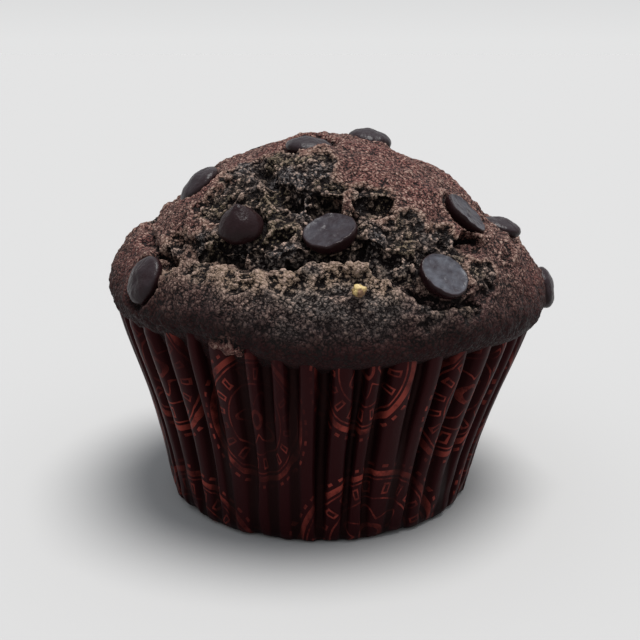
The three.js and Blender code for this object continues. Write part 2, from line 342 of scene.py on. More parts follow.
def makeScoop(azimuth, height, sink, across, deep, high):
    place = onCrust(azimuth, height)
    outward = Vector((place.x - lean, place.y, 0)).normalized()
    clearSelection()
    bpy.ops.mesh.primitive_uv_sphere_add(segments=40, ring_count=24, radius=1)
    scoop = bpy.context.object
    points = readPoints(scoop)
    points *= 1 + 0.16 * roll(points, 0.7, 3, azimuth)[:, None]
    writePoints(scoop, points)
    scoop.scale = (across * mm, deep * mm, high * mm)
    scoop.rotation_euler = (0, 0, math.radians(azimuth))
    scoop.location = place + outward * sink * mm
    settlePlace(scoop)
    return scoop


def nearestOnLine(points, line):
    # distance of each point from a line through places on the crust
    best = np.full(len(points), 1.0)
    for a, b in zip(line, line[1:]):
        a, b = np.array(a), np.array(b)
        step = b - a
        t = np.clip((points - a) @ step / (step @ step), 0, 1)
        best = np.minimum(best, np.linalg.norm(points - a - t[:, None] * step, axis=1))
    return best


def tearEdge(points):
    # distance outside the nearest tear, negative inside it, with a ragged outline
    ragged = roll(points, 3.2 * mm, 3, 7.0) * 1.5 * mm
    best = np.full(len(points), 1.0)
    for azimuth, height, size in cake["tears"]:
        best = np.minimum(best, away(points, onCrust(azimuth, height)) - size * mm)
    return best + ragged


def sculptLumps(piece):
    points = readPoints(piece)
    flat = points - np.array((lean, 0, rimHeight))
    outward = flat / np.linalg.norm(flat, axis=1)[:, None]
    rise = roll(points, 16 * mm, 2) * 0.6 * mm + roll(points, 6 * mm, 2, 3.0) * 0.4 * mm
    for azimuth, height, size, lift in cake["lumps"]:
        rise += lift * mm * bell(away(points, onCrust(azimuth, height)), size * mm)
    onTop = smoothStep(33 * mm, 37 * mm, points[:, 2])
    points += outward * (rise * onTop)[:, None]
    # the lip's lower edge rises and falls round the cup
    edge = np.array(cake["lipEdge"])
    azimuth = azimuthOf(points)
    shift = np.interp(azimuth, edge[:, 0], edge[:, 1]) - 34.4
    fade = 1 - smoothStep(36 * mm, 47 * mm, points[:, 2])
    outer = smoothStep(35.5 * mm, 37.5 * mm, np.hypot(points[:, 0] - lean, points[:, 1]))
    points[:, 2] += shift * mm * fade * outer
    writePoints(piece, points)


def sculptCracks(piece):
    points = readPoints(piece)
    normals = readNormals(piece)
    depthNoise = 1 + 0.55 * roll(points, 4 * mm, 2, 5.0)
    wander = np.stack([roll(points, 3 * mm, 2, shift) for shift in (11.0, 13.0, 17.0)], axis=1)
    moved = points + wander * 1.0 * mm
    change = np.zeros(len(points))
    for places, width, depth in cake["cracks"]:
        line = [onCrust(azimuth, height) for azimuth, height in places]
        gap = nearestOnLine(moved, line)
        change -= depth * mm * np.clip(depthNoise, 0.2, 2) * bell(gap, width * mm)
        change += 0.22 * mm * bell(gap - 2.3 * width * mm, width * mm)
    onTop = smoothStep(36 * mm, 39 * mm, points[:, 2])
    writePoints(piece, points + normals * (change * onTop)[:, None])


relief = {
    # size and rise of each layer in millimetres
    "tornClods": (4.4, 0.95),
    "smallClods": (2.1, 0.75),
    "tornRoll": (2.6, 0.3),
    "crustRoll": (3.4, 0.36),
    "crustClods": (2.6, 0.26),
    "grain": (1.1, 0.21, 0.16),          # size, rise on the crust, extra rise on torn crumb
    "grainRoll": (1.5, 0.11, 0.10),
    "rim": (0.9, 0.8, 0.25),             # the crust curls up beside a tear: place, width, rise
    "hollows": (1.8, 5.0),               # mm under the plain dome where a hollow's painted shade starts and is full
    "shadedLipReach": (12.5, 4.8),             # mm of lip over the paper painted dark, a baked band with painted shade, and more at the sides
    # how much of the painted light goes on the crust rims beside tears
    "litTearRim": 0.38,
}


def sculptCrumb(piece):
    # coarse relief: clods where the crust is torn, gentle ripples where it is whole
    points = readPoints(piece)
    normals = readNormals(piece)
    edge = tearEdge(points)
    torn = 1 - smoothStep(-0.5 * mm, 0.5 * mm, edge)
    whole = 1 - torn
    size, rise = relief["tornClods"]
    bumps = (clods(points, size * mm) - 0.8) * rise
    size, rise = relief["smallClods"]
    bumps = torn * (bumps + (clods(points, size * mm, 4.0) - 0.65) * rise - 0.2)
    size, rise = relief["tornRoll"]
    bumps += torn * roll(points, size * mm, 3, 6.0) * rise
    size, rise = relief["crustRoll"]
    ripples = roll(points, size * mm, 3, 2.0) * rise
    size, rise = relief["crustClods"]
    bumps += whole * (ripples + (clods(points, size * mm, 8.0) - 0.75) * rise)
    place, width, rise = relief["rim"]
    bumps += whole * bell(edge - place * mm, width * mm) * rise
    onTop = smoothStep(34 * mm, 38 * mm, points[:, 2])
    writePoints(piece, points + normals * (bumps * mm * onTop)[:, None])


def sculptGrain(piece):
    # fine relief, the size of single crumbs
    points = readPoints(piece)
    normals = readNormals(piece)
    torn = 1 - smoothStep(-0.4 * mm, 0.4 * mm, tearEdge(points))
    size, rise, tornRise = relief["grain"]
    grain = (clods(points, size * mm, 21.0) - 0.6) * (rise + tornRise * torn)
    size, rise, tornRise = relief["grainRoll"]
    grain += roll(points, size * mm, 3, 31.0) * (rise + tornRise * torn)
    visible = smoothStep(33 * mm, 35 * mm, points[:, 2])
    calm = 0.35 + 0.65 * smoothStep(36 * mm, 41 * mm, points[:, 2])
    points += normals * (grain * mm * visible * calm)[:, None]
    writePoints(piece, points)
    paintPoints(piece, "torn", torn)
    # pits are positive, peaks negative: how far the surface lies under its own smoothed shape
    smoothed = points.copy()
    ends = np.empty(len(piece.data.edges) * 2, int)
    piece.data.edges.foreach_get("vertices", ends)
    first, second = ends[0::2], ends[1::2]
    count = np.bincount(ends, minlength=len(points))[:, None]
    for _ in range(cake["pitSmoothing"]):
        total = np.empty_like(smoothed)
        for axis in range(3):
            total[:, axis] = np.bincount(first, smoothed[second, axis], len(points))
            total[:, axis] += np.bincount(second, smoothed[first, axis], len(points))
        smoothed = 0.5 * smoothed + 0.5 * total / np.maximum(count, 1)
    pit = ((smoothed - points) * normals).sum(axis=1) / mm
    # how deep each point lies under the plain dome, for painted shade in the hollows
    plain = np.interp(points[:, 2] / mm, *np.array(cake["outline"][cake["domeStart"]:]).T[::-1])
    sunk = plain * mm - np.hypot(points[:, 0] - lean, points[:, 1])
    start, full = relief["hollows"]
    overLip = smoothStep(40 * mm, 43 * mm, points[:, 2])
    paintPoints(piece, "hollowShade", smoothStep(start * mm, full * mm, sunk) * overLip)
    # the lower lip is smoother, and painted darker: a baked band over the paper with painted shade under the
    # lip's overhang
    edge = np.array(cake["lipEdge"])
    over = points[:, 2] / mm - np.interp(azimuthOf(points), edge[:, 0], edge[:, 1])
    front, sides = relief["shadedLipReach"]
    reach = front + sides * smoothStep(22, 50, np.abs(azimuthOf(points)))
    shadedBakedLip = 1 - smoothStep(1.5 / reach, 1, (over + roll(points, 5 * mm, 2, 41.0) * 1.2) / reach)
    for azimuth, radius, height, across, *_ in cake["crumbs"]:
        clodGap = away(points, clodPlace(azimuth, radius, height)) / (across * mm)
        shadedBakedLip *= 0.4 + 0.6 * smoothStep(1.0, 1.35, clodGap)
    paintPoints(piece, "shadedBakedLip", shadedBakedLip)
    # painted light: the lip's upper edge by the front crack is painted a lighter tan, and so are the crust
    # rims beside tears
    upperEdge = cake["cracks"][0][0][1:] + cake["cracks"][1][0][1:]
    line = [onCrust(azimuth, height - 2.0) for azimuth, height in upperEdge]
    litEdge = bell(nearestOnLine(points, line), 2.8 * mm)
    litEdge = np.clip(litEdge * (0.9 + 1.2 * roll(points, 4 * mm, 3, 47.0)), 0, 1)
    rim = bell(tearEdge(points) - 0.5 * mm, 0.55 * mm) * smoothStep(44 * mm, 48 * mm, points[:, 2])
    litEdge = np.maximum(litEdge, rim * relief["litTearRim"])
    paintPoints(piece, "litEdge", litEdge)
    # painted sheen: the front of the lip is painted greyer, for sky light shining on it
    frontSheen = bell(azimuthOf(points) - 2, 34) * smoothStep(37 * mm, 41 * mm, points[:, 2])
    frontSheen *= 1 - smoothStep(49 * mm, 52 * mm, points[:, 2])
    frontSheen = np.clip(frontSheen * (1 + 0.7 * roll(points, 6 * mm, 2, 53.0)), 0, 1)
    paintPoints(piece, "frontSheen", frontSheen)
    # painted shade and light: pits are painted darker and peaks lighter, torn crumb and the lip's front a
    # little darker, the lit upper edge lighter
    paintPoints(piece, "shade", 0.10 * litEdge - 0.06 * np.maximum(torn, frontSheen) - (1.1 + 0.35 * torn) * pit)


def seatChips(piece):
    # the cake stops short of each chip's edge, keeps under it and swells a little round it
    points = readPoints(piece)
    for seat in seats.values():
        axis = np.array(seat["axis"])
        offset = points - np.array(seat["place"])
        along = offset @ axis
        across = np.linalg.norm(offset - np.outer(along, axis), axis=1)
        near = (across < seat["radius"] * 2) & (np.abs(along) < 4 * mm)
        swell = 0.40 * mm * bell(across - seat["radius"] * 1.3, 0.7 * mm)
        swell -= 0.75 * mm * bell(across - seat["radius"] * 1.03, 0.5 * mm)
        points += axis * (swell * near)[:, None]
        under = (across < seat["radius"] * 0.97) & (along > -0.5 * mm) & (along < 4.5 * mm)
        points -= axis * ((along + 0.5 * mm) * under)[:, None]
    writePoints(piece, points)


def hangCrumbs(piece):
    clodsMade = []
    for azimuth, radius, height, across, deep, high in cake["crumbs"]:
        clearSelection()
        bpy.ops.mesh.primitive_ico_sphere_add(subdivisions=4, radius=1)
        clod = bpy.context.object
        points = readPoints(clod)
        points *= (1 + 0.3 * roll(points, 0.9, 3, azimuth))[:, None]
        writePoints(clod, points)
        clod.scale = (across * mm, deep * mm, high * mm)
        clod.rotation_euler = (0, 0, math.radians(azimuth))
        clod.location = clodPlace(azimuth, radius, height)
        settlePlace(clod)
        clodsMade.append(clod)
    joinPieces(piece, clodsMade)


def closeHoles(piece):
    # the scoops can leave a face out, and the voxels would then leak into the cake
    pick(piece)
    bpy.ops.object.mode_set(mode="EDIT")
    bpy.ops.mesh.select_mode(type="VERT")
    bpy.ops.mesh.select_all(action="SELECT")
    bpy.ops.mesh.remove_doubles(threshold=0.001 * mm)
    bpy.ops.mesh.select_all(action="SELECT")
    bpy.ops.mesh.fill_holes(sides=0)
    bpy.ops.mesh.select_all(action="DESELECT")
    bpy.ops.mesh.select_non_manifold()
    bpy.ops.object.mode_set(mode="OBJECT")
    print("cake: open corners left:", sum(vertex.select for vertex in piece.data.vertices))


def remesh(piece, voxel):
    pick(piece)
    piece.data.remesh_voxel_size = voxel * mm
    bpy.ops.object.voxel_remesh()


def dropLooseBits(piece):
    # whatever isn't joined to the top of the cake goes
    pick(piece)
    top = int(readPoints(piece)[:, 2].argmax())
    bpy.ops.object.mode_set(mode="EDIT")
    bpy.ops.mesh.select_mode(type="VERT")
    bpy.ops.mesh.select_all(action="DESELECT")
    bpy.ops.object.mode_set(mode="OBJECT")
    piece.data.vertices[top].select = True
    bpy.ops.object.mode_set(mode="EDIT")
    bpy.ops.mesh.select_linked()
    bpy.ops.mesh.select_all(action="INVERT")
    bpy.ops.mesh.delete(type="VERT")
    bpy.ops.object.mode_set(mode="OBJECT")


def makeCake():
    outline = [(radius * mm, height * mm) for radius, height in cake["outline"]]
    piece = turnedForm("muffinCake", outline, cake["sides"])
    addModifier(piece, "SUBSURF", levels=2, render_levels=2)
    points = readPoints(piece)
    points[:, 0] += leanAt(points[:, 2])
    writePoints(piece, points)
    sculptLumps(piece)
    scoops = [makeScoop(*scoop) for scoop in cake["scoops"]]
    for scoop in scoops:
        addModifier(piece, "BOOLEAN", operation="DIFFERENCE", object=scoop, solver="EXACT")
    for scoop in scoops:
        bpy.data.objects.remove(scoop)
    closeHoles(piece)
    remesh(piece, cake["blankVoxel"])
    addModifier(piece, "SMOOTH", factor=0.5, iterations=3)
    sculptCracks(piece)
    sculptCrumb(piece)
    hangCrumbs(piece)
    seatChips(piece)
    remesh(piece, cake["finishVoxel"])
    sculptGrain(piece)
    triangles = sum(len(face.vertices) - 2 for face in piece.data.polygons)
    addModifier(piece, "DECIMATE", ratio=min(1, cake["triangles"] / triangles))
    dropLooseBits(piece)
    pick(piece)
    bpy.ops.object.shade_smooth()
    print("cake:", triangles, "triangles before thinning,", len(piece.data.polygons), "after")
    return piece


# materials: node trees built with a few helpers

def newMaterial(name):
    material = bpy.data.materials.new(name)
    material.use_nodes = True
    return material, material.node_tree.nodes["Principled BSDF"]


def addNode(material, kind, inputs=None, **settings):
    node = material.node_tree.nodes.new(kind)
    for key, value in settings.items():
        setattr(node, key, value)
    for key, value in (inputs or {}).items():
        socket = node.inputs[key]
        if isinstance(value, bpy.types.NodeSocket):
            material.node_tree.links.new(value, socket)
        else:
            socket.default_value = value
    return node


def wire(material, start, end):
    material.node_tree.links.new(start, end)


def addRamp(material, factor, stops):
    ramp = addNode(material, "ShaderNodeValToRGB", {"Fac": factor})
    elements = ramp.color_ramp.elements
    while len(elements) < len(stops):
        elements.new(0.5)
    for element, (place, colour) in zip(elements, stops):
        element.position = place
        element.color = (*colour, 1)
    return ramp.outputs["Color"]


def grey(value):
    return (value, value, value)


def addMath(material, operation, first, second=0.0):
    node = addNode(material, "ShaderNodeMath", {0: first, 1: second}, operation=operation)
    return node.outputs[0]


def mixColours(material, share, first, second, blend="MIX"):
    node = addNode(material, "ShaderNodeMix", {0: share, 6: first, 7: second},
                   data_type="RGBA", blend_type=blend)
    return node.outputs[2]


def mixValues(material, share, first, second):
    node = addNode(material, "ShaderNodeMix", {0: share, 2: first, 3: second}, data_type="FLOAT")
    return node.outputs[0]


crumbLook = {
    "clodScale": 1250,
    "grainScale": 3000,
    "speckScale": 4600,
    "patchScale": 90,
    # painted shade: the colour of creases, pits and hollows
    "pits": (0.0055, 0.0032, 0.0030),
    "crust": (0.100, 0.047, 0.038),
    "redCrust": (0.120, 0.044, 0.037),
    "tornCrumb": (0.076, 0.053, 0.042),
    "tanCrumb": (0.100, 0.076, 0.048),
    "greyCrumb": (0.070, 0.064, 0.064),
    # painted sheen on the lip's front
    "frontSheen": (0.078, 0.066, 0.060),
    # painted shade under the lip, over a darker baked band
    "shadedBakedLip": (0.0120, 0.0018, 0.0024),
    # painted light on the lip's upper edge
    "litEdge": (0.180, 0.124, 0.086),
    # pale crumb specks, and painted highlights on the tops of grains
    "lights": (0.30, 0.212, 0.170),
    "roughness": (0.5, 0.9),
    "sheen": 0.10,
}


def crumbMaterial():
    look = crumbLook
    material, shader = newMaterial("chocolateCrumb")
    place = addNode(material, "ShaderNodeTexCoord").outputs["Object"]

    def painted(name):
        return addNode(material, "ShaderNodeAttribute", attribute_name=name).outputs["Fac"]

    torn, shadedBakedLip = painted("torn"), painted("shadedBakedLip")
    # clods and grains of crumb, bent out of round by a little noise
    bend = addNode(material, "ShaderNodeTexNoise", {"Vector": place, "Scale": 1500.0, "Detail": 2.0})
    shift = addNode(material, "ShaderNodeVectorMath", {0: bend.outputs["Color"], "Scale": 0.5 * mm},
                    operation="SCALE").outputs[0]
    bent = addNode(material, "ShaderNodeVectorMath", {0: place, 1: shift}, operation="ADD").outputs[0]
    gap = addNode(material, "ShaderNodeTexVoronoi", {"Vector": bent, "Scale": look["clodScale"]},
                  feature="DISTANCE_TO_EDGE")
    clod = addNode(material, "ShaderNodeMapRange",
                   {"Value": gap.outputs["Distance"], "From Max": 0.3}).outputs[0]
    grain = addNode(material, "ShaderNodeTexVoronoi", {"Vector": bent, "Scale": look["grainScale"]})
    bead = addMath(material, "SUBTRACT", 1.0, grain.outputs["Distance"])
    domes = mixValues(material, 0.5, clod, bead)
    tone = addNode(material, "ShaderNodeSeparateColor", {"Color": grain.outputs["Color"]}).outputs[0]
    dust = addNode(material, "ShaderNodeTexNoise",
                   {"Vector": place, "Scale": 2600.0, "Detail": 3.0, "Roughness": 0.6}).outputs[0]
    # painted light and shade at crumb size: the tops of clods and grains lighter, the creases between them
    # darker, with random tone
    speckleAndShade = addMath(material, "MULTIPLY", domes, 0.5)
    speckleAndShade = addMath(material, "ADD", speckleAndShade, addMath(material, "MULTIPLY", tone, 0.2))
    speckleAndShade = addMath(material, "ADD", speckleAndShade, addMath(material, "MULTIPLY", dust, 0.42))
    speckleAndShade = addMath(material, "ADD", speckleAndShade, painted("shade"))
    specks = addNode(material, "ShaderNodeTexVoronoi", {"Vector": place, "Scale": look["speckScale"]})
    speckTone = addNode(material, "ShaderNodeSeparateColor", {"Color": specks.outputs["Color"]}).outputs[0]
    paleSpecks = addRamp(material, speckTone, [(0.80, grey(0)), (0.92, grey(0.10))])
    speckleAndShade = addMath(material, "ADD", speckleAndShade, paleSpecks)
    # broad patches of colour
    patches = addNode(material, "ShaderNodeTexNoise", {
        "Vector": place, "Scale": look["patchScale"], "Detail": 3.0, "Roughness": 0.55}).outputs[0]
    redShare = addRamp(material, patches, [(0.44, grey(0)), (0.62, grey(0.85))])
    base = mixColours(material, redShare, (*look["crust"], 1), (*look["redCrust"], 1))
    hues = addNode(material, "ShaderNodeTexNoise",
                   {"Vector": place, "Scale": 170.0, "Detail": 2.0, "Roughness": 0.5}).outputs[0]
    crumb = mixColours(material, addRamp(material, hues, [(0.50, grey(0)), (0.62, grey(1))]),
                       (*look["tornCrumb"], 1), (*look["tanCrumb"], 1))
    crumb = mixColours(material, addRamp(material, hues, [(0.36, grey(1)), (0.48, grey(0))]),
                       crumb, (*look["greyCrumb"], 1))
    base = mixColours(material, torn, base, crumb)
    # painted sheen on the lip's front
    base = mixColours(material, painted("frontSheen"), base, (*look["frontSheen"], 1))
    # painted light on the lip's upper edge
    base = mixColours(material, painted("litEdge"), base, (*look["litEdge"], 1))
    # painted shade under the lip, over a darker baked band
    base = mixColours(material, shadedBakedLip, base, (*look["shadedBakedLip"], 1))
    # painted shade in the creases between grains, painted highlights on their tops over pale specks
    pitShadeShare = addRamp(material, speckleAndShade, [(0.41, grey(1)), (0.59, grey(0))])
    paleSpeckAndLightShare = addRamp(material, speckleAndShade, [(0.62, grey(0)), (0.86, grey(0.9))])
    paleSpeckAndLightShare = addMath(material, "MULTIPLY", paleSpeckAndLightShare,
                         addRamp(material, shadedBakedLip, [(0.05, grey(1)), (0.5, grey(0.4)), (0.9, grey(0.04))]))
    base = mixColours(material, paleSpeckAndLightShare, base, (*look["lights"], 1))
    # painted shade in the hollows
    hollowShadeShare = addMath(material, "MULTIPLY", painted("hollowShade"), 0.7)
    pitShadeShare = addMath(material, "MAXIMUM", pitShadeShare, hollowShadeShare)
    base = mixColours(material, pitShadeShare, base, (*look["pits"], 1))
    wire(material, base, shader.inputs["Base Color"])
    gloss = addNode(material, "ShaderNodeMapRange",
                    {"Value": tone, "To Min": look["roughness"][0], "To Max": look["roughness"][1]})
    wire(material, gloss.outputs[0], shader.inputs["Roughness"])
    shader.inputs["Specular IOR Level"].default_value = look["sheen"]
    height = addMath(material, "ADD", domes, addMath(material, "MULTIPLY", dust, 0.8))
    height = addMath(material, "ADD", height, addMath(material, "MULTIPLY", tone, 0.3))
    height = addMath(material, "MULTIPLY", height, mixValues(material, shadedBakedLip, 1.0, 0.3))
    bump = addNode(material, "ShaderNodeBump", {"Height": height, "Strength": 1.0, "Distance": 0.4 * mm})
    wire(material, bump.outputs[0], shader.inputs["Normal"])
    return material


cakePiece = makeCake()
cakePiece.data.materials.clear()
cakePiece.data.materials.append(crumbMaterial())
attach(cakePiece, body)
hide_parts("muffin_cake")


# chips: one of each kind is modelled, the rest are copies

def makeChip(kind, seed):
    outline = [(radius * mm, height * mm) for radius, height in chips["shapes"][kind]]
    chip = turnedForm("chip_" + kind, outline, chips["sides"])
    addModifier(chip, "SUBSURF", levels=2, render_levels=2)
    points = readPoints(chip)
    openSide = smoothStep(0, 0.6 * mm, points[:, 2])
    across = np.hypot(points[:, 0], points[:, 1])
    broad, fine = chips["dents"]
    dents = roll(points, 2.4 * mm, 3, seed) * broad * mm + roll(points, 0.7 * mm, 2, seed + 3) * fine * mm
    # the open face of a flat chip is painted pale: bloom with a painted sheen of reflected sky
    face = 1 - smoothStep(3.9 * mm, 4.3 * mm, across) if kind == "flat" else chips["bloomAndSheenOf"][kind]
    paintPoints(chip, "bloomAndSheenShare", face * smoothStep(0.3 * mm, 0.6 * mm, points[:, 2]))
    points[:, 2] += dents * openSide
    points[:, :2] *= 1 + roll(points, 3.0 * mm, 2, seed + 9)[:, None] * 0.05
    if kind == "flat":
        for side, front, size in chips["pits"]:
            pit = bell(np.hypot(points[:, 0] - side * mm, points[:, 1] - front * mm), size * mm)
            points[:, 2] -= pit * 0.6 * size * mm * openSide
    if kind == "drop":
        points[:, 0] += 0.35 * mm * smoothStep(2 * mm, 4.5 * mm, points[:, 2])
    writePoints(chip, points)
    pick(chip)
    bpy.ops.object.shade_smooth()
    return chip


chocolateLook = {
    "dark": (0.0115, 0.0042, 0.0048),
    "bloomAndSheen": (0.063, 0.065, 0.076),
    "roughness": (0.22, 0.44),
    "sheen": 0.13,
}


def chocolateMaterial():
    look = chocolateLook
    material, shader = newMaterial("darkChocolate")
    place = addNode(material, "ShaderNodeTexCoord").outputs["Object"]
    clouds = addNode(material, "ShaderNodeTexNoise",
                     {"Vector": place, "Scale": 420.0, "Detail": 5.0, "Roughness": 0.62})
    flecks = addNode(material, "ShaderNodeTexNoise",
                     {"Vector": place, "Scale": 2600.0, "Detail": 2.0, "Roughness": 0.5})
    share = addRamp(material, clouds.outputs[0], [(0.34, grey(0.35)), (0.66, grey(1))])
    # pale bloom with a painted sheen of reflected sky
    bloomAndSheenShare = addNode(material, "ShaderNodeAttribute", attribute_name="bloomAndSheenShare").outputs["Fac"]
    share = addMath(material, "MULTIPLY", share, bloomAndSheenShare)
    base = mixColours(material, share, (*look["dark"], 1), (*look["bloomAndSheen"], 1))
    wire(material, base, shader.inputs["Base Color"])
    gloss = addNode(material, "ShaderNodeMapRange", {
        "Value": clouds.outputs[0], "From Min": 0.3, "From Max": 0.7,
        "To Min": look["roughness"][0], "To Max": look["roughness"][1]})
    wire(material, gloss.outputs[0], shader.inputs["Roughness"])
    shader.inputs["Specular IOR Level"].default_value = look["sheen"]
    fleckHeight = addMath(material, "MULTIPLY", flecks.outputs[0], 0.35)
    height = addMath(material, "ADD", clouds.outputs[0], fleckHeight)
    bump = addNode(material, "ShaderNodeBump", {"Height": height, "Strength": 0.7, "Distance": 0.25 * mm})
    wire(material, bump.outputs[0], shader.inputs["Normal"])
    return material


def setChips():
    chocolate = chocolateMaterial()
    random.seed(12)
    for kind, names in chips["kinds"].items():
        model = makeChip(kind, 2.0 + len(names))
        model.data.materials.append(chocolate)
        for name in names:
            seat = seats[name]
            chip = copyPiece(model, name + "_shaped")
            size = seat["radius"] * 2 / (chips["width"] * mm)
            bloomAndSheenShare = chip.data.attributes["bloomAndSheenShare"].data
            # each chip's own share of the bloom and painted sheen
            for point in bloomAndSheenShare:
                point.value *= chips["dust"].get(name, chips["usualBloomAndSheen"])
            turn = seat["axis"].to_track_quat("Z", "Y").to_matrix().to_4x4()
            spin = Matrix.Rotation(random.uniform(0, math.tau), 4, "Z")
            chip.data.transform(Matrix.Translation(seat["place"]) @ turn @ spin @ Matrix.Scale(size, 4))
            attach(chip, body)
            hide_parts(name)
        bpy.data.objects.remove(model)
    print("chips:", len(seats))


setChips()


# paper cup

cup = {
    "pleats": 46,
    "ringCount": 28,
    "paper": 0.14,                    # mm
    "grooveDepth": (0.25, 0.9, 2.1, 2.7),   # mm, at the base, just above it, half way up and at the rim
    # single grooves: pleat, its depth as a share, how far up the wall it opens
    "ownGrooves": [(0, 1.35, -0.5), (44, 0.8, 0.45), (45, 0.8, 0.5), (3, 0.7, 0.35), (7, 1.2, -0.5),
                   (40, 1.25, -0.5), (37, 0.7, 0.4)],
    "flare": [(0, 28.2), (1.2, 28.7), (3, 29.05), (6.4, 29.75), (11.5, 30.8), (16.5, 32.1), (21.5, 33.6),
              (26.4, 35.3), (29.6, 36.4), (33, 37.5), (36.4, 38.4), (39.2, 38.7)],
    # one pleat's section: share of the paper, share of the pitch, share of the groove's depth
    "section": [(0.0, 0.0, 1.0), (0.06, 0.10, 0.98), (0.13, 0.15, 0.80), (0.20, 0.19, 0.38),
                (0.26, 0.24, 0.07), (0.34, 0.30, -0.03), (0.5, 0.5, -0.09), (0.66, 0.70, -0.03),
                (0.74, 0.76, 0.07), (0.80, 0.81, 0.38), (0.87, 0.85, 0.80), (0.94, 0.90, 0.98)],
}


def makeCup():
    section = cup["section"]
    columns = cup["pleats"] * len(section)
    flare = np.array(cup["flare"])
    heights = np.concatenate([[0.0, 0.25, 0.8], np.linspace(1.8, flare[-1, 0], cup["ringCount"])])
    radii = np.interp(heights, flare[:, 0], flare[:, 1])
    radii[:3] -= (0.9, 0.45, 0.1)
    # the base disc, then the wall extruded and resized ring by ring
    clearSelection()
    bpy.ops.mesh.primitive_circle_add(
        vertices=columns, radius=radii[0] * 0.55 * mm, fill_type="TRIFAN", location=(0, 0, 0))
    piece = bpy.context.object
    piece.name = "paperCup"
    bpy.ops.object.mode_set(mode="EDIT")
    bpy.ops.mesh.select_mode(type="EDGE")
    bpy.ops.mesh.select_all(action="SELECT")
    bpy.ops.mesh.region_to_loop()
    radius, height = radii[0] * 0.55, 0.0
    for nextRadius, nextHeight in zip(radii, heights):
        bpy.ops.mesh.extrude_edges_move(
            TRANSFORM_OT_translate={"value": (0, 0, (nextHeight - height) * mm)})
        share = nextRadius / radius
        bpy.ops.transform.resize(value=(share, share, 1), center_override=(0, 0, nextHeight * mm))
        radius, height = nextRadius, nextHeight
    bpy.ops.mesh.select_all(action="SELECT")
    bpy.ops.mesh.normals_make_consistent(inside=False)
    bpy.ops.object.mode_set(mode="OBJECT")
    settlePlace(piece)
    foldPleats(piece, columns)
    addModifier(piece, "SOLIDIFY", thickness=cup["paper"] * mm, offset=-1)
    pick(piece)
    bpy.ops.object.shade_smooth()
    print("cup:", len(piece.data.polygons), "faces")
    return piece


def foldPleats(piece, columns):
    section = np.array(cup["section"])
    points = readPoints(piece)
    angles = np.degrees(np.arctan2(points[:, 0], -points[:, 1]))
    column = np.round(angles / 360 * columns).astype(int) % columns
    pleat, step = column // len(section), column % len(section)
    radius = np.hypot(points[:, 0], points[:, 1])
    height = points[:, 2]
    up = np.clip(height / (36 * mm), 0, 1)
    wall = radius > 20 * mm
    # each pleat has its own depth, width and place, and they change slowly up the wall
    random.seed(5)
    ownDepth = np.array([random.uniform(0.7, 1.15) for _ in range(cup["pleats"])])
    ownShift = np.array([random.uniform(-0.24, 0.24) for _ in range(cup["pleats"])])
    ownStart = np.array([random.choice((-0.5, -0.3, -0.1, 0.1, 0.4)) for _ in range(cup["pleats"])])
    for number, share, start in cup["ownGrooves"]:
        ownDepth[number], ownStart[number] = share, start
    nextPleat = (pleat + 1) % cup["pleats"]
    towardNext = section[step, 0]
    ownWidth = np.array([random.uniform(0.75, 1.7) for _ in range(cup["pleats"])])
    shift = ownShift[pleat] * (1 - towardNext) + ownShift[nextPleat] * towardNext
    grooveOf = np.where(towardNext > 0.5, nextPleat, pleat)
    opens = smoothStep(0, 1, (up - ownStart[grooveOf]) / 0.35)
    depth = np.interp(up, (0.02, 0.12, 0.5, 1), cup["grooveDepth"]) * ownDepth[grooveOf]
    depth = depth * (0.3 + 0.7 * opens) * mm
    sway = np.array([noise.noise((p / 1.7, h * 60, 3.0)) for p, h in zip(pleat.tolist(), height.tolist())])
    fromGroove = np.minimum(section[step, 1], 1 - section[step, 1])
    widen = fromGroove * (ownWidth[grooveOf] - 1) * (1 - 2 * fromGroove) * np.where(towardNext > 0.5, -1, 1)
    wander = (shift + 0.1 * sway) * np.minimum(1, up * 2 + 0.3)
    place = (pleat + section[step, 1] + widen + wander) / cup["pleats"]
    turn = place * math.tau
    inset = depth * section[step, 2] * wall
    newRadius = radius - inset + wall * 0.12 * mm * sway
    spots = zip(angles.tolist(), height.tolist())
    crumple = np.array([noise.noise((a / 5, h * 250, 8.0)) for a, h in spots])
    newRadius += wall * crumple * 0.55 * mm * (1 - smoothStep(2 * mm, 9 * mm, height))
    flat = ~wall
    turn = np.where(flat, column / columns * math.tau, turn)
    newRadius = np.where(flat, radius, newRadius)
    points[:, 0] = newRadius * np.sin(turn) + leanAt(height)
    points[:, 1] = -newRadius * np.cos(turn)
    # the bottom edge is bent up a little between some pleats
    bend = np.array([noise.noise((p * 0.45, 9.0, 4.0)) for p in (pleat + section[step, 1]).tolist()])
    edge = (radius > 27 * mm) & (height < 2.5 * mm)
    points[:, 2] += np.where(edge, np.clip(bend, 0, 1) * 0.9 * mm, 0)
    writePoints(piece, points)
    # painted shade in the grooves between the pleats
    paintPoints(piece, "grooveShade", np.where(wall, np.clip(section[step, 2], 0, 1), 0))
    # the sheet's own flat coordinates: the cup was one printed disc before it was folded
    slant = np.where(wall, sheetRadius(radius, height), radius)
    sheetTurn = (pleat + section[step, 0]) / cup["pleats"] * math.tau
    sheet = np.stack([slant * np.sin(sheetTurn), -slant * np.cos(sheetTurn)], axis=1)
    layer = piece.data.uv_layers.new(name="sheet")
    corners = np.empty(len(piece.data.loops), int)
    piece.data.loops.foreach_get("vertex_index", corners)
    layer.data.foreach_set("uv", sheet[corners].ravel())


def sheetRadius(radius, height):
    return 28.2 * mm + np.hypot(height, np.maximum(radius - 28.2 * mm, 0))


paperLook = {
    "paper": (0.0145, 0.0024, 0.0032),
    # painted shade in the grooves
    "grooveShadeColour": (0.0022, 0.0007, 0.0008),
    "turn": 24,              # degrees and share of a tile that the print is set over
    "set": (0.36, 0.22),
    "print": (0.175, 0.030, 0.022),
    "tile": 0.031,
    "roughness": (0.36, 0.6),
    "sheen": 0.09,
}


